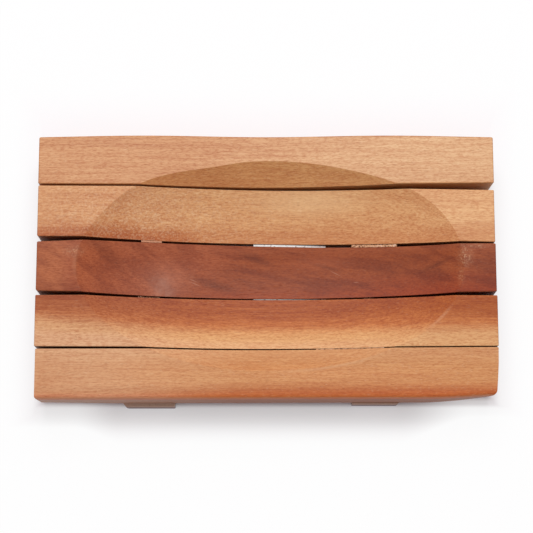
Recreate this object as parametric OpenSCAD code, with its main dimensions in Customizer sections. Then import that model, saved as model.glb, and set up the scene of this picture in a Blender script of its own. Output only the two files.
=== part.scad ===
// Wooden soap dish: five slats side by side on two cross battens, with one shallow oval
// hollow scooped across all the slats. The slats run along X, the battens along Y, +Z is up.
// The origin is at the middle of the footprint, on the plane that the battens rest on.
// The dish is hand made: its slats taper a little and their edges bow, so the gaps vary.

/* [Slats] */
// Length of the dish along the slats
slat_l = 130.2; // [110:0.1:180]
// Thickness of every slat
slat_t = 12; // [10:0.5:20]
// Mean width of the back slat
back_slat_w = 13.8; // [12:0.05:20]
// Mean width of the second slat from the back
rear_mid_slat_w = 14.95; // [12:0.05:20]
// Mean width of the middle slat
centre_slat_w = 14; // [12:0.05:20]
// Mean width of the fourth slat from the back
front_mid_slat_w = 14.5; // [12:0.05:20]
// Mean width of the front slat
front_slat_w = 14.2; // [12:0.05:20]
// Rounding of the slats' upright corners
corner_r = 0.6; // [0.2:0.1:2]
// Rounding of the dish's front right corner, which is worn more
worn_corner_r = 1.4; // [0.5:0.1:5]
// Rounding of the front slat's top front edge
front_edge_r = 1.2; // [0.3:0.1:3]
// How far the back slat's right end is cut back at its underside
end_lean = 0.9; // [0.2:0.1:2]

/* [Gaps] */
// Mean gap between the back slat and the second
back_gap_w = 1.35; // [0.8:0.05:3]
// Mean gap between the second slat and the middle one
rear_gap_w = 0.95; // [0.8:0.05:3]
// Mean gap between the middle slat and the fourth
front_gap_w = 1.15; // [0.8:0.05:3]
// Mean gap between the fourth slat and the front one
last_gap_w = 0.5; // [0.4:0.05:3]

/* [Hollow] */
// Length of the oval rim
hollow_l = 109.8; // [90:0.1:116]
// Width of the oval rim
hollow_w = 60.6; // [50:0.1:66]
// Wood left under the deepest point
hollow_floor_t = 1.4; // [1:0.1:4]
// Upright radius of the ball that scoops the hollow: a larger one makes its sides flatter
hollow_ball_r = 60; // [40:1:200]
// How far the rim's middle lies to the right of the dish's middle
hollow_shift_x = 0.6; // [-3:0.1:3]
// How far the rim's middle lies behind the dish's middle
hollow_shift_y = 0.4; // [-1:0.1:1]

/* [Battens] */
// Width of the left batten
left_batten_w = 14.6; // [10:0.1:18]
// Width of the right batten
right_batten_w = 13.5; // [10:0.1:18]
// Thickness of a batten, which is the height of the slats above the surface
batten_t = 6; // [4:0.1:12]
// Distance between the battens' centre lines
batten_spacing = 64.7; // [60:0.1:84]
// How far the pair of battens lies to the right of the dish's middle
batten_shift = -1.1; // [-4:0.05:4]
// How far the left batten stands out in front of the front slat
left_overhang = 0.9; // [0.4:0.05:2]
// How far the right batten stands out in front of the front slat
right_overhang = 0.3; // [0:0.05:2]
// How far the battens stop short of the back slat's back face
batten_setback = 0.5; // [0.2:0.1:3]
// Rounding of a batten's lower long edges
batten_edge_r = 1.2; // [0.3:0.1:2]

/* [Brads] */
// Diameter of a brad's shank
brad_d = 1.2; // [0.8:0.1:1.5]
// Diameter of a brad's head
brad_head_d = 2.2; // [1.8:0.1:3]
// Thickness of a brad's head
brad_head_t = 0.5; // [0.3:0.1:0.8]
// How far a brad's point reaches into its slat
brad_bite = 3.4; // [2.4:0.1:3.8]
// How deep the heads are sunk into the battens
brad_recess = 0.3; // [0.1:0.1:0.6]
// Sideways step between one brad and the next along a batten
brad_stagger = 3; // [0:0.1:5]

/* [Label] */
// Width of the blank paper label under the slats
label_w = 21.2; // [12:0.1:30]
// Depth of the label, which spans the middle slat and both gaps beside it
label_d = 21; // [19:0.1:30]
// Thickness of the label
label_t = 0.2; // [0.1:0.05:0.5]
// How far the label lies to the right of the dish's middle
label_shift = 6.7; // [-4:0.05:7]

/* [Hidden] */

// Overrun of every cut past the face that it starts from
cut_over = 1;
// Radial and end clearance round a brad
brad_fit = 0.02;
// Length of a brad's tapered point
brad_point_l = 0.9;
// Clearance between a bead of glue and the slats beside it
bead_fit = 0.03;
// How far a bead's top lies below the surface of the hollow
bead_recess = 0.35;

// Steps along a slat's long edge, round a corner, and round a turned surface
edge_steps = 24;
corner_steps = 6;
$fn = 96;

slat_widths = [back_slat_w, rear_mid_slat_w, centre_slat_w, front_mid_slat_w, front_slat_w];
gap_widths = [back_gap_w, rear_gap_w, front_gap_w, last_gap_w];
// How much wider each slat and gap is at its right end than at its left, as a share of its width
slat_taper_shares = [-0.015, 0.023, -0.016, -0.016, 0.009];
gap_taper_shares = [1.15, -1.29, -0.11, -0.7];
// How far each slat's back and front edge bows towards the back, as a share of the slat's width
back_bow_shares = [0, 0.016, 0.05, 0.012, -0.006];
front_bow_shares = [-0.021, 0.033, -0.042, -0.014, 0];
// How much fuller each back edge's bow is at its right end, less than zero where the left is
// fuller, as a share of the bow
back_skew_shares = [0, 0, -1.7, 0, 0];
// How far each slat's left and right end stops short of the dish's full length
left_short_shares = [0, 0.004, 0.005, 0, 0.027];
right_short_shares = [0.012, 0.016, 0.009, 0, 0.006];
// Height of the gentle wave along the back face, as a share of the slat's width, and its
// length as a share of the dish's length
wave_height_share = 0.018;
wave_length_share = 0.54;

// Where the glue beads start and end, as shares of the batten's width from the centre line of
// the batten that they stand on
rear_left_bead_shares = [-0.17, 0.235];
rear_right_bead_shares = [-0.5, 0.47];
front_left_bead_shares = [-0.22, 0.2];
front_right_bead_shares = [-0.27, -0.03];
last_bead_shares = [-1.28, 0.14];

half_l = slat_l / 2;
front_slat_index = len(slat_widths) - 1;
top_z = batten_t + slat_t;
hollow_depth = slat_t - hollow_floor_t;
batten_widths = [left_batten_w, right_batten_w];
batten_x = [batten_shift - batten_spacing / 2, batten_shift + batten_spacing / 2];
wave_h = back_slat_w * wave_height_share;
wave_l = slat_l * wave_length_share;

// Width of a slat or gap at a place along its length, from -1 at the left to 1 at the right
function slat_width(i, u) = slat_widths[i] * (1 + slat_taper_shares[i] * u / 2);
function gap_width(i, u) = gap_widths[i] * (1 + gap_taper_shares[i] * u / 2);

// Distance from the dish's back line to the back edge of slat i, and of all five together
function row_offset(i, u) =
    i == 0 ? 0 : row_offset(i - 1, u) + slat_width(i - 1, u) + gap_width(i - 1, u);
function field_depth(u) = row_offset(front_slat_index, u) + slat_width(front_slat_index, u);

// The back line is placed so that the left batten's front end and the crest of the back
// slat's wave lie equally far from the origin
back_y = (field_depth(batten_x[0] / half_l) + left_overhang - wave_h) / 2;

// A slat's back and front edge at a place x along the dish
function bowed(u, skew_share) = (1 - u * u) * (1 + skew_share * u);
function wave(x) = -wave_h * cos(360 * x / wave_l);
function back_edge(i, x) =
    back_y - row_offset(i, x / half_l)
    + slat_widths[i] * back_bow_shares[i] * bowed(x / half_l, back_skew_shares[i])
    + (i == 0 ? wave(x) : 0);
function front_edge(i, x) =
    back_y - row_offset(i, x / half_l) - slat_width(i, x / half_l)
    + slat_widths[i] * front_bow_shares[i] * bowed(x / half_l, 0);
function slat_middle(i, x) = (back_edge(i, x) + front_edge(i, x)) / 2;

function left_end(i) = -half_l + slat_widths[i] * left_short_shares[i];
function right_end(i) = half_l - slat_widths[i] * right_short_shares[i];

// A rounded corner about the point c, from one angle to another
function corner(c, r, from, to) =
    [for (k = [0 : corner_steps])
        let (a = from + (to - from) * k / corner_steps) [c[0] + r * cos(a), c[1] + r * sin(a)]];

// The plan of slat i, clockwise from its front left corner
function slat_plan(i, front_right_r) =
    let (x0 = left_end(i), x1 = right_end(i), r = corner_r, w = front_right_r)
    concat(
        corner([x0 + r, front_edge(i, x0 + r) + r], r, 270, 180),
        corner([x0 + r, back_edge(i, x0 + r) - r], r, 180, 90),
        [for (k = [1 : edge_steps - 1])
            let (x = x0 + r + (x1 - x0 - 2 * r) * k / edge_steps) [x, back_edge(i, x)]],
        corner([x1 - r, back_edge(i, x1 - r) - r], r, 90, 0),
        corner([x1 - w, front_edge(i, x1 - w) + w], w, 0, -90),
        [for (k = [edge_steps - 1 : -1 : 1])
            let (x = x0 + r + (x1 - x0 - r - w) * k / edge_steps) [x, front_edge(i, x)]]);

// The oval hollow: the bottom of a stretched ball whose rim lies in the slats' top plane
module hollow() {
    rim_height = hollow_ball_r - hollow_depth;
    rim_share = sqrt(1 - pow(rim_height / hollow_ball_r, 2));
    translate([hollow_shift_x, hollow_shift_y, top_z + rim_height])
        scale([hollow_l / 2 / rim_share, hollow_w / 2 / rim_share, hollow_ball_r])
            sphere(r = 1);
}

// One brad, point up, with its head on the plane z = 0 of its own frame
module brad(grow = 0) {
    head_r = brad_head_d / 2 + grow;
    shank_r = brad_d / 2 + grow;
    shank_top = batten_t - brad_recess + brad_bite + grow;
    rotate_extrude()
        polygon([[0, 0], [head_r, 0], [head_r, brad_head_t], [shank_r, brad_head_t],
                 [shank_r, shank_top - brad_point_l], [0, shank_top]]);
}

// Where batten b's brad goes into slat i: one in the middle of each slat, stepped sideways
function brad_x(b, i) = batten_x[b] + brad_stagger * (i % 2 - 1 / 2);
module at_brad(b, i) {
    translate([brad_x(b, i), slat_middle(i, brad_x(b, i)), brad_recess]) children();
}

// A straight slat before its ends and edges are worked, scooped and drilled for its two brads
module slat(i, front_right_r = corner_r) {
    difference() {
        translate([0, 0, batten_t]) linear_extrude(height = slat_t)
            polygon(slat_plan(i, front_right_r));
        hollow();
        for (b = [0, 1]) at_brad(b, i) brad(brad_fit);
    }
}

// The wedge that cuts the back slat's right end out of square
module lean_cut() {
    x1 = right_end(0);
    translate([0, back_y + cut_over, 0]) rotate([90, 0, 0])
        linear_extrude(height = back_slat_w + 2 * cut_over)
            polygon([[x1, top_z], [x1 - end_lean, batten_t], [x1 - end_lean, batten_t - cut_over],
                     [x1 + cut_over, batten_t - cut_over], [x1 + cut_over, top_z]]);
}

// What is sanded off the front slat's top front edge, along the line of its front face
module front_edge_cut() {
    x0 = left_end(front_slat_index);
    x1 = right_end(front_slat_index);
    y0 = front_edge(front_slat_index, x0);
    turn = atan2(front_edge(front_slat_index, x1) - y0, x1 - x0);
    translate([x0, y0, top_z - front_edge_r]) rotate([0, 0, turn]) difference() {
        translate([-cut_over, -cut_over, 0])
            cube([slat_l + 2 * cut_over, front_edge_r + cut_over, front_edge_r + cut_over]);
        translate([-2 * cut_over, front_edge_r, 0]) rotate([0, 90, 0])
            cylinder(r = front_edge_r, h = slat_l + 4 * cut_over);
    }
}

module back_slat() {
    color("#d3a078") difference() {
        slat(0);
        lean_cut();
    }
}

module rear_mid_slat() {
    color("#cf9468") slat(1);
}

module centre_slat() {
    color("#954c34") slat(2);
}

module front_mid_slat() {
    color("#bd6f44") slat(3);
}

module front_slat() {
    color("#cb8d5f") difference() {
        slat(front_slat_index, worn_corner_r);
        front_edge_cut();
    }
}

// A batten lies flat under the slats, with its lower long edges rounded and its holes drilled
module batten(b, overhang) {
    x = batten_x[b];
    half_w = batten_widths[b] / 2;
    front_y = front_edge(front_slat_index, x) - overhang;
    length = back_y - batten_setback - front_y;
    r = batten_edge_r;
    difference() {
        translate([x, front_y + length, 0]) rotate([90, 0, 0]) linear_extrude(height = length)
            polygon(concat(
                [[half_w, batten_t], [-half_w, batten_t]],
                corner([r - half_w, r], r, 180, 270),
                corner([half_w - r, r], r, 270, 360)));
        for (i = [0 : front_slat_index]) at_brad(b, i) {
            brad(brad_fit);
            translate([0, 0, -brad_recess - cut_over])
                cylinder(r = brad_head_d / 2 + brad_fit, h = brad_recess + cut_over);
        }
    }
}

module left_batten() {
    color("#a87a5c") batten(0, left_overhang);
}

module right_batten() {
    color("#a87a5c") batten(1, right_overhang);
}

// The brads that pin one batten to the slats, one solid each
module brad_row(b) {
    for (i = [0 : front_slat_index]) at_brad(b, i) brad();
}

module left_brads() {
    color("#9a9a98") brad_row(0);
}

module right_brads() {
    color("#9a9a98") brad_row(1);
}

// Glue mixed with sanding dust that squeezed up in front of slat i and set over batten b
module glue_bead(i, b, shares) {
    x0 = batten_x[b] + batten_widths[b] * shares[0];
    x1 = batten_x[b] + batten_widths[b] * shares[1];
    xs = [for (s = [0 : corner_steps]) x0 + (x1 - x0) * s / corner_steps];
    difference() {
        translate([0, 0, batten_t]) linear_extrude(height = slat_t)
            polygon(concat(
                [for (x = xs) [x, front_edge(i, x) - bead_fit]],
                [for (s = [corner_steps : -1 : 0]) [xs[s], back_edge(i + 1, xs[s]) + bead_fit]]));
        translate([0, 0, -bead_recess]) hollow();
    }
}

module glue_beads() {
    color("#d8b48a") {
        glue_bead(1, 0, rear_left_bead_shares);
        glue_bead(1, 1, rear_right_bead_shares);
        glue_bead(2, 0, front_left_bead_shares);
        glue_bead(2, 1, front_right_bead_shares);
        glue_bead(3, 1, last_bead_shares);
    }
}

module underside_label() {
    color("#f2f1ee") translate([label_shift - label_w / 2, -label_d / 2, batten_t - label_t])
        cube([label_w, label_d, label_t]);
}

back_slat();
rear_mid_slat();
centre_slat();
front_mid_slat();
front_slat();
left_batten();
right_batten();
left_brads();
right_brads();
glue_beads();
underside_label();
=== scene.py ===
import math

import bmesh
import bpy
import numpy as np
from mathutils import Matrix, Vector


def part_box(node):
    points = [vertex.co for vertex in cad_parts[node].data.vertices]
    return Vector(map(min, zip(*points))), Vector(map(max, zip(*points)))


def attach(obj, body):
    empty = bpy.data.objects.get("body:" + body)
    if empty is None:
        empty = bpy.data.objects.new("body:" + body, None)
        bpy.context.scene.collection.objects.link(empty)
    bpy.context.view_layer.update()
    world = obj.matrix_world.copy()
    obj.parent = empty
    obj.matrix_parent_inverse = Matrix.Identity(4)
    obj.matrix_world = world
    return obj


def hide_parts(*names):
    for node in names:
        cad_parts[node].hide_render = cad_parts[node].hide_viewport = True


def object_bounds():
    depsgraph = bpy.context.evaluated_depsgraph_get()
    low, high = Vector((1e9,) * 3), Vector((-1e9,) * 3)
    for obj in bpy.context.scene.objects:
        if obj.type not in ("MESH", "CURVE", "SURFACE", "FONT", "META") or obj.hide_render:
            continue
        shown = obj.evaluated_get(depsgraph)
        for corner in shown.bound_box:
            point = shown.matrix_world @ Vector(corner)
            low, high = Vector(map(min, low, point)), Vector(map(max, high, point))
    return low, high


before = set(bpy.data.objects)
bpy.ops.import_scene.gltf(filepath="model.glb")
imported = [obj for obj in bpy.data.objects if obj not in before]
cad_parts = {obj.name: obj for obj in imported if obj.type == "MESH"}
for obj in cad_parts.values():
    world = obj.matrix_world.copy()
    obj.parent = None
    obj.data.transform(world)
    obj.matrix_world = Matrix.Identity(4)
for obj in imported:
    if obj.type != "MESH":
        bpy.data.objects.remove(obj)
cad_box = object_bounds()

# The left and right battens
# Two flat strips of a browner hardwood lie across the slats and lift them off the washbasin.
# Their lower long edges are sanded round, their undersides are drilled and sunk for the brads,
# and their front ends show under the front slat as the dish's feet.
touching = 1e-6
along_share, facing_share = 0.98, 0.9
crease_angle = math.radians(40)


def block(name, low, high):
    """A plain block between two corners, with its place in its mesh, left in edit mode."""
    low, high = Vector(low), Vector(high)
    bpy.ops.object.select_all(action="DESELECT")
    bpy.ops.mesh.primitive_cube_add(size=1, location=(low + high) / 2)
    piece = bpy.context.object
    piece.name = piece.data.name = name
    piece.scale = high - low
    bpy.ops.object.transform_apply(location=True, rotation=True, scale=True)
    bpy.ops.object.mode_set(mode="EDIT")
    return piece


def pick(piece, kind, test):
    """Selects, in edit mode, the vertices, edges or faces of a piece that pass a test."""
    bpy.ops.mesh.select_mode(type=kind)
    bpy.ops.mesh.select_all(action="DESELECT")
    cage = bmesh.from_edit_mesh(piece.data)
    for item in {"VERT": cage.verts, "EDGE": cage.edges, "FACE": cage.faces}[kind]:
        if test(item):
            item.select_set(True)
    cage.select_flush_mode()
    bmesh.update_edit_mesh(piece.data)


def move(piece, test, way):
    """Moves the vertices that pass a test, in edit mode."""
    pick(piece, "VERT", test)
    bpy.ops.transform.translate(value=way)


def round_edges(piece, test, radius, segments):
    """Rounds the edges that pass a test, in edit mode."""
    pick(piece, "EDGE", test)
    bpy.ops.mesh.bevel(offset=radius, segments=segments, affect="EDGES")


def runs_along(edge, axis):
    """Does an edge run along an axis, 0 to 2 for X to Z?"""
    way = edge.verts[1].co - edge.verts[0].co
    return abs(way[axis]) > along_share * way.length


def middle(edge):
    """The middle of an edge."""
    return (edge.verts[0].co + edge.verts[1].co) / 2


def upright_at(edge, x, y):
    """Is an edge the upright one at a corner of the plan?"""
    return runs_along(edge, 2) and (middle(edge).xy - Vector((x, y))).length < touching


def with_modifier(piece, kind, **settings):
    """Puts a modifier on a finished mesh and applies it at once."""
    bpy.context.view_layer.objects.active = piece
    modifier = piece.modifiers.new(kind.lower(), kind)
    for setting, value in settings.items():
        setattr(modifier, setting, value)
    bpy.ops.object.modifier_apply(modifier=modifier.name)


def carve(piece, tool):
    """Takes a tool's shape out of a piece, as a drill or a gouge does."""
    with_modifier(piece, "BOOLEAN", operation="DIFFERENCE", solver="EXACT", object=tool)


def shade_smooth(piece):
    """Shades a piece smooth up to its creases, with its flat faces kept flat."""
    bpy.ops.object.select_all(action="DESELECT")
    piece.select_set(True)
    bpy.context.view_layer.objects.active = piece
    bpy.ops.object.shade_smooth_by_angle(angle=crease_angle, keep_sharp_edges=True)
    with_modifier(piece, "WEIGHTED_NORMAL", keep_sharp=True)


def put_on(piece, material, node):
    """Gives a finished piece its material and its body, and hides the CAD node that it stands for.
    """
    piece.data.materials.clear()
    piece.data.materials.append(material)
    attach(piece, "root")
    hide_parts(node)


def tone(code):
    """A colour as a screen shows it, turned by the sRGB curve into the light that Blender mixes."""
    parts = [int(code[i:i + 2], 16) / 255 for i in (1, 3, 5)]
    return [p / 12.92 if p <= 0.04045 else ((p + 0.055) / 1.055) ** 2.4 for p in parts] + [1]


def new_material(name):
    """Starts a material and gives its node tree too."""
    material = bpy.data.materials.new(name)
    material.use_nodes = True
    return material, material.node_tree


def plug(tree, node, inputs):
    """Gives a node's sockets their values, or links other nodes' outputs to them."""
    for socket, value in inputs.items():
        if isinstance(value, bpy.types.NodeSocket):
            tree.links.new(value, node.inputs[socket])
        else:
            node.inputs[socket].default_value = value


def shade(tree, kind, inputs=None, **settings):
    """Adds a shader node with its settings and its inputs."""
    node = tree.nodes.new("ShaderNode" + kind)
    for setting, value in settings.items():
        setattr(node, setting, value)
    plug(tree, node, inputs or {})
    return node


def surface(tree, inputs):
    """Gives a material's own shader its colour, roughness, relief and the like."""
    shader = tree.nodes["Principled BSDF"]
    plug(tree, shader, inputs)
    return shader


def calc(tree, operation, first, second=0.0):
    """Works out one number from one or two others."""
    return shade(tree, "Math", {0: first, 1: second}, operation=operation).outputs[0]


def paint(tree, base, share, colour, way="MIX"):
    """Lays a share of one colour over another."""
    return shade(tree, "Mix", {0: share, 6: base, 7: colour}, data_type="RGBA",
                 blend_type=way).outputs[2]


def tint(tree, base, share, stain):
    """Stains a share of a surface, so that what is under the stain shows through."""
    return paint(tree, base, share, stain, "MULTIPLY")


def between(tree, value, none, full):
    """0 where a value is at none or beyond it, and 1 where it reaches full, with a soft step."""
    return shade(tree, "MapRange", {"Value": value, "From Min": none, "From Max": full},
                 interpolation_type="SMOOTHSTEP").outputs[0]


def streaks(tree, board, length, width, detail=2.0, rough=0.5):
    """Marks drawn out along the grain, of a length and a width in millimetres, from 0 to 1."""
    drawn = shade(tree, "Mapping", {"Vector": board, "Scale": (1 / length, 1 / width, 1 / width)})
    return shade(tree, "TexNoise", {"Vector": drawn.outputs[0], "Scale": 1, "Detail": detail,
                                    "Roughness": rough}).outputs[0]


def near(tree, place, centre, reach):
    """1 at a spot on a piece, fading to 0 over its reach each way, in millimetres."""
    spot = shade(tree, "Mapping", {"Vector": place, "Scale": [1 / r for r in reach],
                                   "Location": [-c / r for c, r in zip(centre, reach)]})
    distance = shade(tree, "VectorMath", {0: spot.outputs[0]}, operation="LENGTH")
    return between(tree, distance.outputs["Value"], 1, 0)


def axes(tree, vector):
    """The x, y and z of a place or a direction."""
    return shade(tree, "SeparateXYZ", {0: vector}).outputs


def facing(tree):
    """The x, y and z of the way that each face of a piece looks."""
    return axes(tree, shade(tree, "TexCoord").outputs["Normal"])


def in_millimetres(tree):
    """Each point's place on its piece, in millimetres."""
    own = shade(tree, "TexCoord").outputs["Object"]
    return shade(tree, "Mapping", {"Vector": own, "Scale": (1000, 1000, 1000)}).outputs[0]


relief_t = 0.00003


def relief(tree, height, strength, thickness=relief_t):
    """A fine relief of a surface, from heights between 0 and 1."""
    return shade(tree, "Bump", {"Height": height, "Strength": strength,
                                "Distance": thickness}).outputs[0]


grain_wander_l, grain_wander_w, grain_wander = 55, 16, 2.4


def new_wood(name, shift, turn=0.0):
    """Starts a wood. Gives its material, each point's place on the piece in millimetres, and its
    place in the board that the piece was sawn from, where the grain wanders gently."""
    material, tree = new_material(name)
    place = in_millimetres(tree)
    board = shade(tree, "Mapping", {"Vector": place, "Rotation": (0, 0, turn),
                                    "Location": (shift, shift, shift)}).outputs[0]
    spread = (1 / grain_wander_l, 1 / grain_wander_w, 1 / grain_wander_w)
    wide = shade(tree, "Mapping", {"Vector": board, "Scale": spread}).outputs[0]
    drift = shade(tree, "TexNoise", {"Vector": wide, "Scale": 1, "Detail": 1}).outputs["Color"]
    drift = shade(tree, "VectorMath", {0: drift, 1: (0.5, 0.5, 0.5)}, operation="SUBTRACT")
    drift = shade(tree, "VectorMath", {0: drift.outputs[0], 1: (0, grain_wander, grain_wander)},
                  operation="MULTIPLY")
    board = shade(tree, "VectorMath", {0: board, 1: drift.outputs[0]}, operation="ADD").outputs[0]
    return material, tree, place, board


def times(tree, *shares):
    """The product of several shares, each a number or an output."""
    product = shares[0]
    for share in shares[1:]:
        product = calc(tree, "MULTIPLY", product, share)
    return product


# The marks in the grain: length, width, detail, and the levels where a mark starts and is full
broad_marks, band_marks = (60, 6, 2, 0.4, 0.62), (40, 1.2, 3, 0.42, 0.62)
fibre_marks, speck_marks = (9, 0.3, 3, 0.4, 0.64), (1.2, 0.34, 3, 0.42, 0.66)


def grain(tree, board, colour, stain, broad=0.15, bands=0.2, fibres=0.25, specks=0.42):
    """The run of the grain, as shares of a stain: broad changes, growth bands, fine fibres and the
    short specks of cut cells."""
    for marks, share in ((broad_marks, broad), (band_marks, bands), (fibre_marks, fibres),
                         (speck_marks, specks)):
        length, width, detail, low, high = marks
        mark = between(tree, streaks(tree, board, length, width, detail, 0.6), low, high)
        colour = tint(tree, colour, times(tree, mark, share), stain)
    return colour


wood_gloss, wood_roughness, open_roughness = 0.24, 0.5, 0.2
arris_wear_and_highlight_share, end_share, pore_depth_share = 0.25, 0.5, 0.6


def finish_wood(material, colour, board, pores=0.3, flecks=0.1, end_axis=0, end_stain="#b58a70",
                gap_shade=0.0, gap_side=0, gap_shade_tone="#70564c"):
    """The last of every wood: open pores, pale flecks, darker end grain, painted shade on the faces
    inside the gaps (gap_side 1 is the back face, -1 the front one, 0 both), arrises worn pale and
    lit by a painted highlight, a satin sheen and a fine relief along the fibres."""
    tree = material.node_tree
    pore = between(tree, streaks(tree, board, 1.7, 0.17, 1), 0.62, 0.72)
    fleck = between(tree, streaks(tree, board, 1.1, 0.35, 2, 0.6), 0.56, 0.72)
    colour = paint(tree, colour, times(tree, fleck, flecks), tone("#ffe2c0"), "SCREEN")
    colour = tint(tree, colour, times(tree, pore, pores), tone("#a06a4c"))
    looks = facing(tree)
    lean_x, lean_y, up = (calc(tree, "ABSOLUTE", part) for part in looks)
    # Pale arrises: partly wear, partly a painted highlight where the eased edges catch the light.
    arris_wear_and_highlight = times(tree, between(tree, up, 0.74, 0.6), between(tree, up, 0.08, 0.3))
    colour = paint(tree, colour, times(tree, arris_wear_and_highlight, arris_wear_and_highlight_share), tone("#f0c8a4"))
    end = between(tree, (lean_x, lean_y)[end_axis], 0.5, 0.9)
    colour = tint(tree, colour, times(tree, end, end_share), tone(end_stain))
    # Painted shade inside the gaps: faces that look back or forward into them are darkened, standing
    # in for the shade between the slats.
    inside = times(tree, looks[1], gap_side) if gap_side else lean_y
    gap_shade_share = times(tree, between(tree, inside, 0.75, 0.95), gap_shade)
    colour = tint(tree, colour, gap_shade_share, tone(gap_shade_tone))
    rough = times(tree, calc(tree, "MAXIMUM", pore, end), open_roughness)
    rough = calc(tree, "ADD", rough, wood_roughness)
    fibre = streaks(tree, board, 7, 0.3, 3, 0.6)
    height = calc(tree, "SUBTRACT", fibre, times(tree, pore, pore_depth_share))
    surface(tree, {"Base Color": colour, "Specular IOR Level": wood_gloss, "Roughness": rough,
                   "Normal": relief(tree, height, 0.4)})
    return material


def solids_of(node):
    """The lowest and highest corner of each separate solid in a CAD node, from the back."""
    shape = bmesh.new()
    shape.from_mesh(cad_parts[node].data)
    bmesh.ops.remove_doubles(shape, verts=shape.verts, dist=touching)
    loose, corners = set(shape.verts), []
    while loose:
        group, reached = [], [loose.pop()]
        while reached:
            vertex = reached.pop()
            group.append(vertex.co.copy())
            joined = {edge.other_vert(vertex) for edge in vertex.link_edges} & loose
            loose -= joined
            reached += joined
        corners.append((Vector(np.min(group, axis=0)), Vector(np.max(group, axis=0))))
    shape.free()
    return sorted(corners, key=lambda pair: (-pair[0].y, pair[0].x))


brad_sides = 28
brad_head_r, brad_shank_r = 0.0011, 0.0006
brad_head_t, brad_point_l, brad_tip_share = 0.0005, 0.0009, 0.12
brad_fit, sink_over = 0.00002, 0.0006
brad_boxes = {side: solids_of(side + "_brads") for side in ("left", "right")}


def brad_shape(name, box, grow=0.0, sink=0.0):
    """A brad, point up, turned from one cylinder. Grown a little and with a deeper foot, it is the
    hole that the brad sits in."""
    low, high = box
    centre = (low + high) / 2
    bpy.ops.object.select_all(action="DESELECT")
    bpy.ops.mesh.primitive_cylinder_add(
        vertices=brad_sides, radius=brad_head_r + grow, depth=brad_head_t + sink + grow,
        location=(centre.x, centre.y, low.z + (brad_head_t - sink + grow) / 2))
    piece = bpy.context.object
    piece.name = piece.data.name = name
    bpy.ops.object.transform_apply(location=True, rotation=True, scale=True)
    bpy.ops.object.mode_set(mode="EDIT")
    top = low.z + brad_head_t + grow
    pick(piece, "FACE", lambda f: f.normal.z > facing_share
         and f.calc_center_median().z > top - touching)
    bpy.ops.mesh.inset(thickness=brad_head_r - brad_shank_r)
    for rise in (high.z - top - brad_point_l, brad_point_l + grow):
        bpy.ops.mesh.extrude_region_move(TRANSFORM_OT_translate={"value": (0, 0, rise)})
    bpy.ops.transform.resize(value=(brad_tip_share, brad_tip_share, 1),
                             center_override=(centre.x, centre.y, high.z))
    return piece


def join_all(pieces, name):
    """Joins pieces into one, under a new name."""
    bpy.ops.object.select_all(action="DESELECT")
    for piece in pieces:
        piece.select_set(True)
    bpy.context.view_layer.objects.active = pieces[0]
    bpy.ops.object.join()
    pieces[0].name = pieces[0].data.name = name
    return pieces[0]


holes = []
for side in ("left", "right"):
    for box in brad_boxes[side]:
        holes.append(brad_shape("hole", box, brad_fit, sink_over))
        bpy.ops.object.mode_set(mode="OBJECT")
brad_holes = join_all(holes, "brad_holes")

material, tree, place, board = new_wood("batten_timber", 31, math.pi / 2)
colour = grain(tree, board, tone("#a8805f"), tone("#b98563"), broad=0.5, bands=0.5, fibres=0.5)
y, z = axes(tree, place)[1:]
# Painted light and shade on the feet's front ends: lighter at the top, darker and bluish towards the
# floor.
foot_light_and_shade = paint(tree, tone("#988690"), between(tree, z, 1.5, 5), tone("#d2b3a2"))
colour = paint(tree, colour, times(tree, between(tree, y, -37.2, -37.4), 0.85), foot_light_and_shade)
batten_timber = finish_wood(material, colour, board, end_axis=1, end_stain="#e6d8d0")

batten_round, round_segments = 0.0012, 8
batten_ease, ease_segments = 0.0002, 3
worn_corners = {"left": (0.0011, 0.0004), "right": (0.0002, 0.0009)}
worn_segments = 6
for side in ("left", "right"):
    low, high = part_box(side + "_batten")
    batten = block(side + "_batten_strip", low, high)
    for x, radius in zip((low.x, high.x), worn_corners[side]):
        round_edges(batten, lambda e: upright_at(e, x, low.y), radius, worn_segments)
    round_edges(batten, lambda e: runs_along(e, 1) and middle(e).z < low.z + batten_ease,
                batten_round, round_segments)
    bpy.ops.object.mode_set(mode="OBJECT")
    with_modifier(batten, "BEVEL", width=batten_ease, segments=ease_segments,
                  angle_limit=crease_angle)
    carve(batten, brad_holes)
    shade_smooth(batten)
    put_on(batten, batten_timber, side + "_batten")

# The brads
# Ten small steel nails pin the slats down, five through each batten's underside. Their heads
# are punched a little below the wood, each with an eased edge and a slight hollow.
head_edge, head_edge_segments, head_dish_r, head_dish = 0.00012, 3, 0.0005, 0.00005
bright_steel, tree = new_material("bright_steel")
place = in_millimetres(tree)
spots = shade(tree, "TexNoise", {"Vector": place, "Scale": 2.6, "Detail": 3}).outputs[0]
steel = paint(tree, tone("#a9a8a6"), between(tree, spots, 0.45, 0.65), tone("#77716c"))
steel_roughness = calc(tree, "ADD", times(tree, spots, 0.35), 0.25)
surface(tree, {"Base Color": steel, "Metallic": 1, "Roughness": steel_roughness,
               "Normal": relief(tree, spots, 0.4)})

for side in ("left", "right"):
    row = []
    for box in brad_boxes[side]:
        brad = brad_shape("brad", box)
        pick(brad, "FACE", lambda f: f.normal.z < -facing_share)
        bpy.ops.mesh.bevel(offset=head_edge, segments=head_edge_segments, affect="EDGES")
        pick(brad, "FACE", lambda f: f.normal.z < -facing_share and len(f.verts) == brad_sides)
        bpy.ops.mesh.inset(thickness=head_dish_r)
        bpy.ops.transform.translate(value=(0, 0, head_dish))
        bpy.ops.object.mode_set(mode="OBJECT")
        row.append(brad)
    brads = join_all(row, side + "_steel_brads")
    shade_smooth(brads)
    put_on(brads, bright_steel, side + "_brads")

# The back slat
# The first of five planed hardwood slats, pale tan, its back edge planed a little wavy. All five
# were fixed to the battens first and then scooped together, so one ball-shaped cut crosses them.
nearly = 1e-5
corner_l, face_margin_share = 0.004, 0.3


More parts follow.
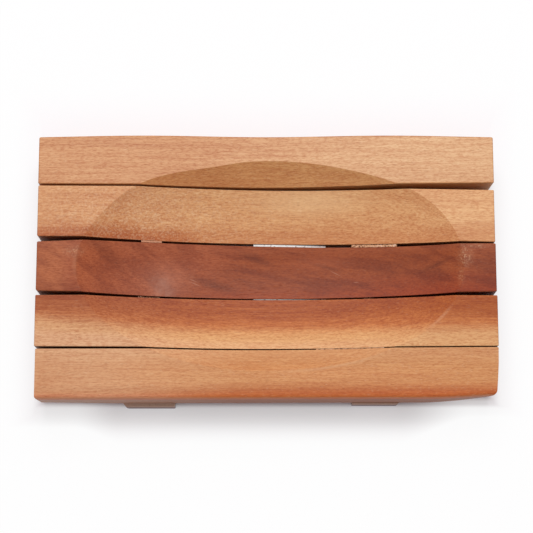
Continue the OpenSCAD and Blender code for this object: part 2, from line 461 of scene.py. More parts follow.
def edge_line(node, side):
    """Where a slat's back or front face runs in plan, as its CAD node has it: y for any x."""
    low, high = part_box(node)
    middle_y, margin = (low.y + high.y) / 2, (high.y - low.y) * face_margin_share
    sign = 1 if side == "back" else -1
    underside = [v.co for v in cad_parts[node].data.vertices if v.co.z < low.z + nearly]
    points = sorted({(round(at.x, 6), round(at.y, 6)) for at in underside
                     if (at.y - middle_y) * sign > margin})
    xs, ys = np.array([p for p in points if low.x + corner_l < p[0] < high.x - corner_l]).T
    first, last = (ys[1] - ys[0]) / (xs[1] - xs[0]), (ys[-1] - ys[-2]) / (xs[-1] - xs[-2])
    return lambda x: (float(np.interp(x, xs, ys)) + first * min(0, x - xs[0])
                      + last * max(0, x - xs[-1]))


def side_columns(piece):
    """The places along X at which a piece in edit mode has corners."""
    columns = []
    for x in sorted(v.co.x for v in bmesh.from_edit_mesh(piece.data).verts):
        if not columns or x - columns[-1] > nearly:
            columns.append(x)
    return columns


def in_column(vertex, x):
    """Is a vertex in the column of corners that starts at x?"""
    return 0 <= vertex.co.x - x < nearly


def follow(piece, back_line, front_line, back_y, front_y):
    """Moves a block's back and front faces, column by column, to two plan lines."""
    middle_y = (back_y + front_y) / 2
    for x in side_columns(piece):
        for line, face_y, at_back in ((back_line, back_y, True), (front_line, front_y, False)):
            move(piece, lambda v: in_column(v, x) and (v.co.y > middle_y) == at_back,
                 (0, line(x) - face_y, 0))


slat_columns = 52
corner_segments = 8


def slat_block(node, corners, shape_edge=None):
    """A slat's block with its four upright corners rounded, by the radii of its left back, left
    front, right back and right front one, and its long faces brought to their slight taper and
    bow, left in edit mode. The front slat's worn edge is shaped on the way."""
    low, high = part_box(node)
    piece = block(node + "_plank", low, high)
    plan = [(x, y) for x in (low.x, high.x) for y in (high.y, low.y)]
    for (x, y), radius in zip(plan, corners):
        round_edges(piece, lambda e: upright_at(e, x, y), radius, corner_segments)
    if shape_edge:
        shape_edge(piece, low, high)
    pick(piece, "EDGE", lambda e: runs_along(e, 0) and e.calc_length() > (high.x - low.x) / 2)
    bpy.ops.mesh.subdivide(number_cuts=slat_columns - 1)
    follow(piece, edge_line(node, "back"), edge_line(node, "front"), high.y, low.y)
    return piece


hollow_l, hollow_w, hollow_depth, ball_r = 0.1098, 0.0606, 0.0106, 0.060
hollow_centre = Vector((0.001, 0.0004, cad_box[1].z))
ball_segments, ball_rings = 320, 200


def push(piece, spot, way, reach):
    """Pushes a piece's surface at one spot and draws its surroundings along, as wax gives."""
    nearest = min((v.co - spot).length for v in bmesh.from_edit_mesh(piece.data).verts)
    pick(piece, "VERT", lambda v: (v.co - spot).length <= nearest)
    bpy.ops.transform.translate(value=way, use_proportional_edit=True,
                                proportional_edit_falloff="SMOOTH", proportional_size=reach)


# Where the carver strayed from a true oval: a spot in plan, its shift, and how far the shift reaches
carving_slips = (((-0.036, 0.0235), (-0.0006, 0.0011), 0.018),
                 ((0.044, 0.0195), (0.0009, 0.0009), 0.026),
                 ((0.048, -0.0155), (0.0003, -0.0003), 0.014),
                 ((0.008, -0.0295), (0, 0.0005), 0.018),
                 ((-0.015, 0.0295), (0, -0.0004), 0.01))


def make_scoop():
    """The ball whose lowest part is the oval hollow, with the carver's slips in it. Its poles lie
    front and back, off the dish."""
    rise = ball_r - hollow_depth
    rim_share = math.sqrt(1 - (rise / ball_r) ** 2)
    bpy.ops.object.select_all(action="DESELECT")
    bpy.ops.mesh.primitive_uv_sphere_add(segments=ball_segments, ring_count=ball_rings, radius=1,
                                         rotation=(math.pi / 2, 0, 0))
    ball = bpy.context.object
    ball.name = "scoop"
    bpy.ops.object.transform_apply(location=True, rotation=True, scale=True)
    ball.scale = (hollow_l / 2 / rim_share, hollow_w / 2 / rim_share, ball_r)
    ball.location = hollow_centre + Vector((0, 0, rise))
    bpy.ops.object.transform_apply(location=True, rotation=True, scale=True)
    bpy.ops.object.mode_set(mode="EDIT")
    for spot, way, reach in carving_slips:
        push(ball, Vector((*spot, hollow_centre.z)), (*way, 0), reach)
    bpy.ops.object.mode_set(mode="OBJECT")
    return ball


scoop = make_scoop()
slat_ease, slat_ease_segments, slat_ease_angle = 0.00025, 4, math.radians(50)
rim_fold_from, rim_fold_to = math.radians(10), math.radians(60)


def finish_slat(piece, material, node):
    """Eases a shaped slat's arrises, scoops and drills it, and puts it on its body."""
    bpy.ops.object.mode_set(mode="OBJECT")
    with_modifier(piece, "BEVEL", width=slat_ease, segments=slat_ease_segments,
                  angle_limit=slat_ease_angle)
    carve(piece, scoop)
    bpy.ops.object.mode_set(mode="EDIT")
    top = cad_box[1].z
    pick(piece, "EDGE", lambda e: min(v.co.z for v in e.verts) > top - touching
         and rim_fold_from < e.calc_face_angle(0) < rim_fold_to)
    bpy.ops.mesh.mark_sharp()
    bpy.ops.object.mode_set(mode="OBJECT")
    carve(piece, brad_holes)
    shade_smooth(piece)
    put_on(piece, material, node)


def scooped(tree):
    """1 where a slat's face leans, as the hollow's wall does, and 0 where it lies flat."""
    return between(tree, facing(tree)[2], 0.998, 0.975)


tan_grain, pink_stain = tone("#cd9066"), tone("#c98f7c")

material, tree, place, board = new_wood("back_slat_timber", 3)
x, y = axes(tree, place)[:2]
colour = paint(tree, tone("#dda77a"), between(tree, x, -30, 45), tone("#eabe91"))
colour = grain(tree, board, colour, tan_grain)
pink = times(tree, near(tree, place, (-46, 36, 18), (34, 5, 20)),
             between(tree, streaks(tree, board, 26, 0.9, 3, 0.6), 0.45, 0.62))
colour = tint(tree, colour, times(tree, pink, 0.3), pink_stain)
back_edge = times(tree, between(tree, y, 37.5, 38.1), between(tree, x, -12, 4))
colour = tint(tree, colour, times(tree, back_edge, 0.35), pink_stain)
# Painted shade: the hollow's leaning wall is tinted darker and more saturated, as it looks away from
# the lamp and lacks the flat top's sheen.
colour = tint(tree, colour, scooped(tree), tone("#f5e7cc"))
back_slat_timber = finish_wood(material, colour, board, gap_shade=0.35, gap_side=-1,
                               gap_shade_tone="#bce0f6")

end_lean, end_reach = 0.0004, 0.001
back_slat_corners = (0.00045, 0.0003, 0.00045, 0.0003)
back_slat = slat_block("back_slat", back_slat_corners)
low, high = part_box("back_slat")
move(back_slat, lambda v: v.co.x > high.x - end_reach and v.co.z < low.z + nearly,
     (-end_lean, 0, 0))
finish_slat(back_slat, back_slat_timber, "back_slat")

# The second slat
# Planed from the same tan wood. Its front edge lay beside the heart of the board, so a red stain
# runs along it, strongest at the left, and short pale flecks crowd its left half.
material, tree, place, board = new_wood("rear_mid_slat_timber", 17)
x, y = axes(tree, place)[:2]
colour = paint(tree, tone("#dfa776"), between(tree, x, -10, 60), tone("#edbc89"))
# Painted light: the hollow's wall, but for its left end, is painted paler, for the brighter light
# that it catches.
hollow_light_share = times(tree, scooped(tree), between(tree, x, -42, -12))
colour = paint(tree, colour, hollow_light_share, tone("#e9b37e"))
colour = grain(tree, board, colour, tan_grain)
stained = calc(tree, "ADD", between(tree, x, -15, -35), 0.5)
stained = times(tree, between(tree, y, 14.5, 9), calc(tree, "MINIMUM", stained, 1))
colour = tint(tree, colour, stained, tone("#dcb39c"))
deepest = near(tree, place, (-42.5, 11, 17), (9, 8, 20))
colour = tint(tree, colour, times(tree, deepest, 0.8), tone("#eedaca"))
mottle = shade(tree, "TexNoise", {"Vector": board, "Scale": 1.5, "Detail": 3, "Roughness": 0.7})
mottled = times(tree, near(tree, place, (-32, 15, 15), (66, 20, 20)),
                between(tree, mottle.outputs[0], 0.46, 0.64))
colour = paint(tree, colour, times(tree, mottled, 0.22), tone("#ffdcb8"), "SCREEN")
# Painted light: a paler patch just in front of the gap behind, lifting the shadow that the back slat
# casts there.
pale = near(tree, place, (12, 20, 12), (24, 6, 20))
colour = paint(tree, colour, times(tree, pale, 0.5), tone("#f3c795"))
rear_mid_slat_timber = finish_wood(material, colour, board, gap_shade=0.6, gap_side=-1,
                                   gap_shade_tone="#7c7478")

rear_mid_slat_corners = (0.0003, 0.0005, 0.0003, 0.0003)
rear_mid_slat = slat_block("rear_mid_slat", rear_mid_slat_corners)
finish_slat(rear_mid_slat, rear_mid_slat_timber, "rear_mid_slat")

# The middle slat
# Dark red-brown heartwood with a slanting, cloudy figure. Sanding left a pale smudge in it, some
# fine scratches and pale specks where the hollow's rim crosses its ends.


def leaning(tree, place, turn, length, width, detail=2.0, rough=0.5):
    """Marks drawn out along a direction at an angle to the slat."""
    turned = shade(tree, "Mapping", {"Vector": place, "Rotation": (0, 0, math.radians(turn))})
    return streaks(tree, turned.outputs[0], length, width, detail, rough)


def scratch(tree, place, centre, turn, length, width):
    """1 along a short fine scratch on a slat."""
    x, y = centre
    moved = shade(tree, "Mapping", {"Vector": place, "Location": (-x, -y, 0)}).outputs[0]
    turned = shade(tree, "Mapping", {"Vector": moved, "Rotation": (0, 0, math.radians(-turn))})
    return near(tree, turned.outputs[0], (0, 0, 12), (length, width, 30))


rim_line_out_share = 1.005


def rim_line(tree, place, width):
    """1 along the hollow's rim, over a width given as a share of its size."""
    across, deep = 1000 * hollow_l / 2, 1000 * hollow_w / 2
    middle_x, middle_y = 1000 * hollow_centre.x, 1000 * hollow_centre.y
    spot = shade(tree, "Mapping", {"Vector": place, "Scale": (1 / across, 1 / deep, 0),
                                   "Location": (-middle_x / across, -middle_y / deep, 0)})
    out = shade(tree, "VectorMath", {0: spot.outputs[0]}, operation="LENGTH").outputs["Value"]
    off_line = calc(tree, "ABSOLUTE", calc(tree, "SUBTRACT", out, rim_line_out_share))
    return between(tree, off_line, width, 0)


def rim_highlight(tree, colour, place, centre, reach, highlight_tone, width=0.02, share=0.2):
    """A painted highlight along the hollow's rim, strongest at one spot and fading over its reach.
    """
    stretch = near(tree, place, (*centre, 18), (*reach, 20))
    return paint(tree, colour, times(tree, rim_line(tree, place, width), stretch, share), highlight_tone)


# The darker patches of the figure: middle, turn in degrees, length and width, and share
dark_patches = (((-45, 4.2), -38, (11, 3.2), 0.32), ((-15, -3.6), -17, (12, 2.2), 0.5),
                ((-3, 4.2), -20, (7, 2), 0.5), ((17.5, 1.5), -14, (7, 0.9), 0.5),
                ((48, 1), 22, (6, 1.2), 0.5))
# The pale specks at both ends: middle, reach each way, and share
speck_patches = (((-54.6, 4.6), (4.5, 2.6), 0.5), ((56.4, 3.4), (3.2, 5), 0.6),
                 ((60, 6), (4.5, 1.2), 0.45), ((55, -3), (1.4, 4), 0.5))
# The scratches: middle, turn in degrees, and half their length
scratches = (((25.8, -3), 2, 1.1), ((20, -0.3), -28, 2.6), ((-20.5, -3.4), -22, 2.2),
             ((-21, -2.4), -20, 1.6))
scratch_w, heart_lean = 0.16, 1.33

material, tree, place, board = new_wood("centre_slat_timber", 41)
x, y = axes(tree, place)[:2]
across = calc(tree, "SUBTRACT", x, times(tree, y, heart_lean))
colour = paint(tree, tone("#aa5a37"), between(tree, across, -26, -6), tone("#9d4d25"))
colour = paint(tree, colour, between(tree, x, -54, -60), tone("#b96a41"))
rusty = times(tree, between(tree, x, -38, -46), between(tree, x, -57, -53))
colour = tint(tree, colour, rusty, tone("#fffaec"))
colour = paint(tree, colour, times(tree, between(tree, y, 4, 7.5), 0.4), tone("#b16645"))
front_red = times(tree, between(tree, y, -3.5, -7), between(tree, x, -25, -10), 0.6)
colour = paint(tree, colour, front_red, tone("#a5481c"))
left_half, cloud_tone = between(tree, x, -8, -26), tone("#b48672")
clouds = between(tree, leaning(tree, place, 36, 17, 4.4, 2), 0.42, 0.62)
colour = tint(tree, colour, times(tree, clouds, left_half, 0.4), cloud_tone)
clouds = between(tree, leaning(tree, place, 12, 24, 3.2, 3), 0.42, 0.62)
clouds = times(tree, clouds, calc(tree, "SUBTRACT", 1, left_half), 0.45)
colour = tint(tree, colour, clouds, cloud_tone)
colour = grain(tree, board, colour, tone("#c09378"), bands=0.15, fibres=0.2, specks=0.45)
for centre, turn, reach, share in dark_patches:
    dark = scratch(tree, place, centre, turn, *reach)
    colour = tint(tree, colour, times(tree, dark, share), tone("#8a5a48"))
light = near(tree, place, (16, 3, 12), (14, 3.5, 30))
colour = paint(tree, colour, times(tree, light, 0.35), tone("#b3603c"))
cloudy = between(tree, leaning(tree, place, -50, 4, 1.8, 3, 0.6), 0.2, 0.8)
smudge_core = times(tree, near(tree, place, (-29.6, -5.4, 12), (5.4, 6.5, 30)), cloudy, 0.5)
smudge_haze = times(tree, near(tree, place, (-29, -2.5, 12), (11, 8.5, 30)), 0.16)
colour = paint(tree, colour, calc(tree, "ADD", smudge_core, smudge_haze), tone("#b98672"))
specks = shade(tree, "TexNoise", {"Vector": board, "Scale": 1.6, "Detail": 3, "Roughness": 0.7})
specks = between(tree, specks.outputs[0], 0.5, 0.62)
for centre, reach, share in speck_patches:
    patch = near(tree, place, (*centre, 17), (*reach, 30))
    colour = paint(tree, colour, times(tree, patch, specks, share), tone("#cb9872"))
    colour = paint(tree, colour, times(tree, patch, 0.14), tone("#bf8869"))
# Painted highlight on the hollow's rim at the left end.
colour = rim_highlight(tree, colour, place, (-54, 1.5), (3, 6.5), tone("#c98a64"))
front_right = times(tree, between(tree, x, 5, 48), between(tree, y, 0.5, -3.5), 0.7)
colour = tint(tree, colour, front_right, tone("#f4d0ba"))
for centre, turn, length in scratches:
    line = scratch(tree, place, centre, turn, length, scratch_w)
    colour = paint(tree, colour, times(tree, line, 0.45), tone("#d09a7e"))
centre_slat_timber = finish_wood(material, colour, board, pores=0.25, flecks=0.03, gap_shade=0.4,
                                 gap_shade_tone="#8c8890")

centre_slat_corners = (0.0004, 0.0006, 0.0003, 0.0003)
centre_slat = slat_block("centre_slat", centre_slat_corners)
finish_slat(centre_slat, centre_slat_timber, "centre_slat")

# The fourth slat
# Sawn where the red heartwood meets the tan sapwood, so its back half is red and its front half
# tan, with a fairly sharp border that runs a little further back at the left end.
border_y, border_bend_x, border_bend, border_wave = -17.7, -8, 0.0009, 2.4
material, tree, place, board = new_wood("front_mid_slat_timber", 59)
x, y = axes(tree, place)[:2]
left_of_bend = calc(tree, "MINIMUM", calc(tree, "SUBTRACT", x, border_bend_x), 0)
left_rise = times(tree, calc(tree, "POWER", left_of_bend, 2), border_bend)
from_border = calc(tree, "SUBTRACT", y, calc(tree, "ADD", left_rise, border_y))
wavy = calc(tree, "SUBTRACT", streaks(tree, board, 6, 0.7, 3, 0.6), 0.5)
wavy = times(tree, wavy, border_wave)
from_border = calc(tree, "ADD", from_border, wavy)
heart = paint(tree, tone("#d6864b"), between(tree, from_border, 0.5, 7), tone("#b4602a"))
heart = paint(tree, heart, times(tree, between(tree, x, -12, -45), 0.25), tone("#a66a54"))
heart = grain(tree, board, heart, tone("#c88a60"), broad=0.2, bands=0.32, fibres=0.35)
sap = paint(tree, tone("#e8b279"), between(tree, from_border, -1.5, -4.5), tone("#ecb988"))
sap = paint(tree, sap, between(tree, x, 22, 48), tone("#e6b07a"))
sap = paint(tree, sap, times(tree, between(tree, x, -12, -45), 0.2), tone("#d8ac9a"))
sap = grain(tree, board, sap, tan_grain, broad=0.08, bands=0.1, fibres=0.2)
colour = paint(tree, sap, between(tree, from_border, -2.4, 2.8), heart)
knot = times(tree, near(tree, place, (-53.2, -20, 18), (1.8, 1.2, 10)),
             between(tree, streaks(tree, place, 0.6, 0.5, 2, 0.6), 0.45, 0.62))
colour = paint(tree, colour, times(tree, knot, 0.6), tone("#9c6238"))
# Painted highlight on the hollow's rim at the front right.
colour = rim_highlight(tree, colour, place, (48.5, -14.5), (6.5, 7.5), tone("#f2c39c"), width=0.016,
                share=0.22)
front_mid_slat_timber = finish_wood(material, colour, board, flecks=0.06, gap_shade=0.8)

front_mid_slat_corners = (0.0003, 0.00035, 0.0003, 0.0003)
front_mid_slat = slat_block("front_mid_slat", front_mid_slat_corners)
finish_slat(front_mid_slat, front_mid_slat_timber, "front_mid_slat")

# The front slat
# Tan wood that reddens towards its front edge. Hands and sanding have rounded that edge, and
# worn the front right corner back, most of all at its underside.
roll_rows = (0.0015, 0.0011, 0.0008, 0.00055, 0.00035, 0.0002, 0.0001, 0.00003)
worn_rows = (0.0105, 0.0085, 0.0068, 0.0052, 0.0038, 0.0026)
roll_reach, roll_power = 0.0015, 2.6


def roll_drop(distance):
    """How far the rolled edge has fallen at a distance from the front face."""
    inward = 1 - distance / roll_reach
    return roll_reach * (1 - (1 - inward ** roll_power) ** (1 / roll_power))


def cut_line(axis, at):
    """Cuts a line round the piece in edit mode at a place along X or Y, 0 or 1."""
    place, way = [0, 0, 0], [0, 0, 0]
    place[axis], way[axis] = at, 1
    bpy.ops.mesh.select_all(action="SELECT")
    bpy.ops.mesh.bisect(plane_co=place, plane_no=way, threshold=touching)


def roll_front_edge(piece, low, high):
    """Cuts lines along a slat's front top edge and lowers each one."""
    for distance in worn_rows + roll_rows:
        cut_line(1, low.y + distance)
    top = high.z - touching
    rows = [v.co.y for v in bmesh.from_edit_mesh(piece.data).verts if v.co.z > top]
    for row in sorted({round(y, 6) for y in rows if y < low.y + roll_reach - touching}):
        move(piece, lambda v: abs(v.co.y - row) < touching and v.co.z > top,
             (0, 0, -roll_drop(max(0, row - low.y))))


material, tree, place, board = new_wood("front_slat_timber", 73)
x, y, z = axes(tree, place)
colour = paint(tree, tone("#e1ac80"), between(tree, x, -45, 0), tone("#d99d68"))
colour = paint(tree, colour, between(tree, x, 5, 50), tone("#da9b65"))
colour = paint(tree, colour, times(tree, between(tree, y, -28.5, -24.5), 0.12), tone("#f8d2a8"))
yellow = times(tree, near(tree, place, (-32, -30, 18), (24, 9, 30)), 0.6)
colour = tint(tree, colour, yellow, tone("#fff4e6"))
warm = times(tree, near(tree, place, (18, -30.5, 18), (60, 4, 30)), 0.7)
colour = paint(tree, colour, warm, tone("#e4a26b"))
rosy = times(tree, between(tree, x, -44, -62), between(tree, y, -24, -30), 0.25)
colour = tint(tree, colour, rosy, tone("#f0d9c8"))
colour = grain(tree, board, colour, tan_grain, broad=0.08, bands=0.12, specks=0.32)
redder = calc(tree, "ADD", between(tree, x, -45, 5), 0.42)
redder = times(tree, between(tree, y, -31.5, -37.8), redder)
colour = tint(tree, colour, calc(tree, "MINIMUM", redder, 1), tone("#f3bf9f"))
left_edge = times(tree, between(tree, y, -35.8, -36.6), between(tree, x, -10, -30))
colour = tint(tree, colour, left_edge, tone("#fff6ff"))
greyer = near(tree, place, (0, -35, 18), (200, 2.2, 30))
colour = tint(tree, colour, greyer, tone("#f5f8fa"))
right_half = between(tree, x, -45, -5)
# Painted highlight on the top of the rolled front edge, where it catches the light.
rolled = times(tree, between(tree, z, 17.97, 17.5), between(tree, y, -36, -37), 0.45)
rolled_tone = paint(tree, tone("#dc9a72"), right_half, tone("#cc753e"))
colour = paint(tree, colour, rolled, rolled_tone)
# Painted highlight along the hollow's rim at the front.
colour = rim_highlight(tree, colour, place, (20, -28), (24, 6), tone("#f0c8a0"))
# Painted shade just under the rolled edge, at the top of the front face.
under_roll = times(tree, between(tree, z, 17.7, 17.3), between(tree, z, 14, 16.2),
                   between(tree, y, -36, -36.8))
under_roll_tone = paint(tree, tone("#ecc4b4"), right_half, tone("#e9c295"))
colour = tint(tree, colour, under_roll, under_roll_tone)
# Painted shade on the front face, which looks away from the lamp: darkened and greyed below the
# rolled edge.
front_face_shade = times(tree, between(tree, z, 16.6, 14.2), between(tree, y, -34, -36), 0.72)
front_face_shade_tone = paint(tree, tone("#9c7664"), right_half, tone("#704330"))
colour = paint(tree, colour, front_face_shade, front_face_shade_tone)
front_slat_timber = finish_wood(material, colour, board, gap_shade=0.75, gap_side=1)

front_slat_corners = (0.0003, 0.0008, 0.0003, 0.0014)
front_slat = slat_block("front_slat", front_slat_corners, roll_front_edge)
low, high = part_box("front_slat")
worn_from, worn_to, worn_depth, worn_power = 0.046, 0.062, 0.0007, 1.6
lean_from, lean_to, lean_depth, lean_power = 0.044, 0.064, 0.0009, 1.5
left_lean_from, left_lean_to, left_lean_depth = 0.042, 0.062, 0.0003


def share_between(value, none, full):
    """How far a value has come from none, 0, to full, 1."""
    return min(1, max(0, (value - none) / (full - none)))


for x in side_columns(front_slat):
    worn = worn_depth * share_between(x, worn_from, worn_to) ** worn_power
    lean = lean_depth * share_between(x, lean_from, lean_to) ** lean_power
    lean += left_lean_depth * share_between(-x, left_lean_from, left_lean_to)
    move(front_slat, lambda v: in_column(v, x) and v.co.y < (low.y + high.y) / 2, (0, worn, 0))
    move(front_slat, lambda v: in_column(v, x) and v.co.z < low.z + nearly
         and v.co.y < low.y + worn + roll_reach, (0, lean, 0))
drawn_in_from, drawn_in_to, drawn_in, drawn_in_power = -0.0245, -0.036, 0.00075, 1.5
end_l, row_reach = 0.002, 0.000006
right_end = high.x - end_l
for row in sorted({round(v.co.y, 5) for v in bmesh.from_edit_mesh(front_slat.data).verts
                   if v.co.x > right_end and v.co.y < drawn_in_from}):
    inward = drawn_in * share_between(row, drawn_in_from, drawn_in_to) ** drawn_in_power
    move(front_slat, lambda v: v.co.x > right_end and abs(v.co.y - row) < row_reach,
         (-inward, 0, 0))
finish_slat(front_slat, front_slat_timber, "front_slat")

# The glue beads
# Glue squeezed up between the slats over the battens and was cut back with the hollow. Sanding
# dust has filled it, so it is now five crumbly tan strips that close the gaps there.
crumb_size, crumb_depth = 0.0005, 2
glue_roughness, grit_t = 0.75, 0.0001
crumbs = bpy.data.textures.new("crumbs", "CLOUDS")
crumbs.noise_scale = crumb_size
crumbs.noise_depth = crumb_depth

dusty_glue, tree = new_material("dusty_squeezed_glue")
place = in_millimetres(tree)
x, y = axes(tree, place)[:2]
dust = shade(tree, "TexNoise", {"Vector": place, "Scale": 1.25, "Detail": 4, "Roughness": 0.6})
dust = dust.outputs[0]
rear_left = times(tree, between(tree, x, 5, -5), between(tree, y, 0, 5))
colour = paint(tree, tone("#dba47c"), rear_left, tone("#c98c6c"))
colour = paint(tree, colour, near(tree, place, (0, -8, 12), (90, 5, 30)), tone("#8a5238"))
# Dark specks in the glue, more of them towards the right.
dark_speck_share = calc(tree, "ADD", times(tree, between(tree, x, 5, 15), 0.4), 0.4)
colour = paint(tree, colour, times(tree, between(tree, dust, 0.48, 0.4), dark_speck_share), tone("#5c3220"))
crumbly = calc(tree, "MAXIMUM", between(tree, x, 10, 20), between(tree, y, 0, -3))
crumbly = times(tree, between(tree, dust, 0.55, 0.62), crumbly, 0.8)
colour = paint(tree, colour, crumbly, tone("#f2cbb2"))
surface(tree, {"Base Color": colour, "Roughness": glue_roughness,
               "Normal": relief(tree, dust, 0.5, grit_t)})

# Each bead's slats behind and ahead, how deep it lies under the hollow, and how coarse it is
bead_kinds = {"rear_left": ("rear_mid_slat", "centre_slat", 0.00005, 0.00008),
              "rear_right": ("rear_mid_slat", "centre_slat", 0.00025, 0.0004),
              "front_left": ("centre_slat", "front_mid_slat", 0.0005, 0.0014),
              "front_right": ("centre_slat", "front_mid_slat", 0.0006, 0.0014),
              "last": ("front_mid_slat", "front_slat", 0.00005, 0.00006)}
bead_grip, bead_columns, bead_voxel, crumb_level = 0.00003, 14, 0.00015, 0.65
beads = []
for (name, kind), (low, high) in zip(bead_kinds.items(), solids_of("glue_beads")):
    behind, ahead, sink, coarse = kind
    bead = block(name + "_bead", low, (high.x, high.y, cad_box[1].z))
    pick(bead, "EDGE", lambda e: runs_along(e, 0))
    bpy.ops.mesh.subdivide(number_cuts=bead_columns)
    back, front = edge_line(behind, "front"), edge_line(ahead, "back")
    follow(bead, lambda x: back(x) - bead_grip, lambda x: front(x) + bead_grip, high.y, low.y)
    bpy.ops.object.mode_set(mode="OBJECT")
    scoop.location.z = -sink
    bpy.context.view_layer.update()
    carve(bead, scoop)
    with_modifier(bead, "REMESH", mode="VOXEL", voxel_size=bead_voxel)
    with_modifier(bead, "DISPLACE", texture=crumbs, texture_coords="LOCAL",
                  mid_level=crumb_level, strength=coarse)
    beads.append(bead)
glue = join_all(beads, "squeezed_glue")
shade_smooth(glue)
put_on(glue, dusty_glue, "glue_beads")
bpy.data.objects.remove(scoop)
bpy.data.objects.remove(brad_holes)

# The label underneath
# A small blank square of white paper is glued across the three middle slats underneath. It shows
# as a bright line in the gaps beside the middle slat, where the hollow leaves them shallow.
label_corner, label_corner_segments, label_columns = 0.0012, 6, 12
pucker_rise, pucker_inside, pucker_side, pucker_end = 0.0018, 0.00004, 0.00008, 0.0002
paper_roughness = 0.85
white_paper, tree = new_material("white_paper")
place = in_millimetres(tree)
pulp = shade(tree, "TexNoise", {"Vector": place, "Scale": 0.9, "Detail": 4}).outputs[0]
colour = paint(tree, tone("#f7f5f4"), between(tree, pulp, 0.35, 0.7), tone("#ece7e3"))
stains = between(tree, streaks(tree, place, 0.9, 2, 3), 0.56, 0.66)
stains = calc(tree, "MAXIMUM", stains, scratch(tree, place, (1.3, 8), 70, 1.2, 0.25))
stains = times(tree, stains, between(tree, axes(tree, place)[2], 6.4, 7))
colour = paint(tree, colour, times(tree, stains, 0.75), tone("#96786a"))
surface(tree, {"Base Color": colour, "Roughness": paper_roughness,
               "Normal": relief(tree, pulp, 0.3)})

low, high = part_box("underside_label")
label = block("blank_paper_label", low, high)
round_edges(label, lambda e: runs_along(e, 2), label_corner, label_corner_segments)
columns = [low.x + (high.x - low.x) * number / label_columns for number in range(1, label_columns)]
for column in [low.x + pucker_end] + columns + [high.x - pucker_end]:
    cut_line(0, column)
for behind, ahead in (("rear_mid_slat", "centre_slat"), ("centre_slat", "front_mid_slat")):
    back, front = edge_line(behind, "front"), edge_line(ahead, "back")
    here = (low.x + high.x) / 2
    gap_y, gap_w = (back(here) + front(here)) / 2, back(here) - front(here)
    foot, crest = gap_w / 2 - pucker_inside, gap_w / 2 - pucker_inside - pucker_side
    for offset in (-foot, -crest, crest, foot):
        cut_line(1, gap_y + offset)
    for x in side_columns(label):
        shift = (back(x) + front(x)) / 2 - gap_y
        rise = pucker_rise * min(1, (x - low.x) / pucker_end, (high.x - x) / pucker_end)
        move(label, lambda v: in_column(v, x) and abs(v.co.y - gap_y) < foot + touching,
             (0, shift, 0))
        move(label, lambda v: in_column(v, x) and abs(v.co.y - gap_y - shift) < crest + touching,
             (0, 0, rise))
bpy.ops.object.mode_set(mode="OBJECT")
shade_smooth(label)
put_on(label, white_paper, "underside_label")

# The table, the light and the camera
# The dish stands on a pale matt table under one soft lamp, in a room of even white light. The
# camera looks down on it from the front, and sees the table white but for the dish's soft shadow.
floor_size, table_roughness, most_white = 4.0, 0.9, 0.95
table_lit, table_seen = (0.8, 0.79, 0.79, 1), (0.98, 0.9, 0.955, 1)
bpy.ops.object.select_all(action="DESELECT")
bpy.ops.mesh.primitive_plane_add(size=floor_size)
floor = bpy.context.object
floor.name = "pale_table"


def as_seen(tree):
    """1 for what the camera sees, also in gloss and through glass, and 0 for what lights things."""
    path = shade(tree, "LightPath").outputs
    seen = calc(tree, "MAXIMUM", path["Is Camera Ray"], path["Is Glossy Ray"])
    return calc(tree, "MAXIMUM", seen, path["Is Transmission Ray"])


def fade(tree, value, first, second):
    """The sum of two soft steps, each given by where it starts, where it is full and its share."""
    return calc(tree, "ADD", *(times(tree, between(tree, value, start, full), share)
                               for start, full, share in (first, second)))


table_paint, tree = new_material("table_paint")
seen = as_seen(tree)
table = surface(tree, {"Base Color": paint(tree, table_lit, seen, table_seen),
                       "Roughness": table_roughness})
x, y = axes(tree, in_millimetres(tree))[:2]
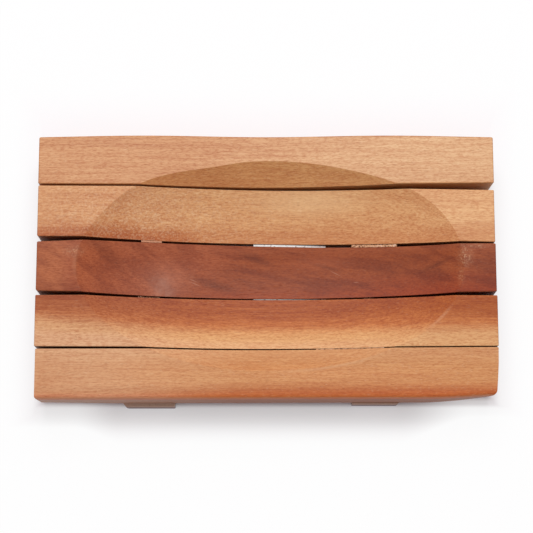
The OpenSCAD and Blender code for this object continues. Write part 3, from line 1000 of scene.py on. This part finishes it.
# Painted light over the dish's shadow: the camera's white glow fades in beside, ahead of and behind
# the dish and is raised at its front corners, so it sets how far and how dark the shadow looks. The
# seen table colour tints what shows of the shadow lilac.
beside = fade(tree, calc(tree, "ABSOLUTE", x), (63, 68, 0.74), (66, 76, 0.21))
ahead = fade(tree, y, (-36.7, -38.4, 0.4), (-38, -49, 0.55))
behind = fade(tree, y, (38, 42, 0.6), (42, 60, 0.35))
right_corner = times(tree, between(tree, y, -34.5, -36.6), between(tree, x, 38, 60), 0.46)
left_corner = times(tree, between(tree, y, -36.2, -37.4), between(tree, x, -42, -56), 0.25)
ahead = calc(tree, "ADD", ahead, calc(tree, "ADD", right_corner, left_corner))
white_share = calc(tree, "MAXIMUM", calc(tree, "MAXIMUM", beside, ahead), behind)
white_share = times(tree, seen, calc(tree, "MINIMUM", white_share, most_white))
white = shade(tree, "Emission", {"Color": (1, 1, 1, 1), "Strength": 1})
table_mix = shade(tree, "MixShader", {0: white_share, 1: table.outputs[0], 2: white.outputs[0]})
plug(tree, tree.nodes["Material Output"], {0: table_mix.outputs[0]})
floor.data.materials.append(table_paint)

sky_light = 0.42
world = bpy.data.worlds.new("studio")
bpy.context.scene.world = world
world.use_nodes = True
tree = world.node_tree
strength = calc(tree, "ADD", times(tree, as_seen(tree), 1 - sky_light), sky_light)
plug(tree, tree.nodes["Background"], {"Color": (1, 1, 1, 1), "Strength": strength})

lamp_distance, lamp_size, lamp_power = 0.6, 0.3, 2.3
lamp_tilt = math.radians(27)
lamp_data = bpy.data.lights.new("softbox", "AREA")
lamp_data.shape = "SQUARE"
lamp_data.size = lamp_size
lamp_data.energy = lamp_power
lamp = bpy.data.objects.new("softbox", lamp_data)
lamp.location = (0, lamp_distance * math.sin(lamp_tilt), lamp_distance * math.cos(lamp_tilt))
lamp.rotation_euler = (-lamp_tilt, 0, 0)
bpy.context.scene.collection.objects.link(lamp)

sensor_w, photo_w_px, focal_px = 36, 533, 1646
camera_place, camera_tilt = (0.00004, -0.0867, 0.4748), math.radians(10.75)
camera_data = bpy.data.cameras.new("camera")
camera_data.sensor_width = sensor_w
camera_data.lens = sensor_w * focal_px / photo_w_px
camera = bpy.data.objects.new("camera", camera_data)
camera.location = camera_place
camera.rotation_euler = (camera_tilt, 0, 0)
bpy.context.scene.collection.objects.link(camera)
bpy.context.scene.camera = camera
bpy.context.scene.view_settings.view_transform = "Standard"
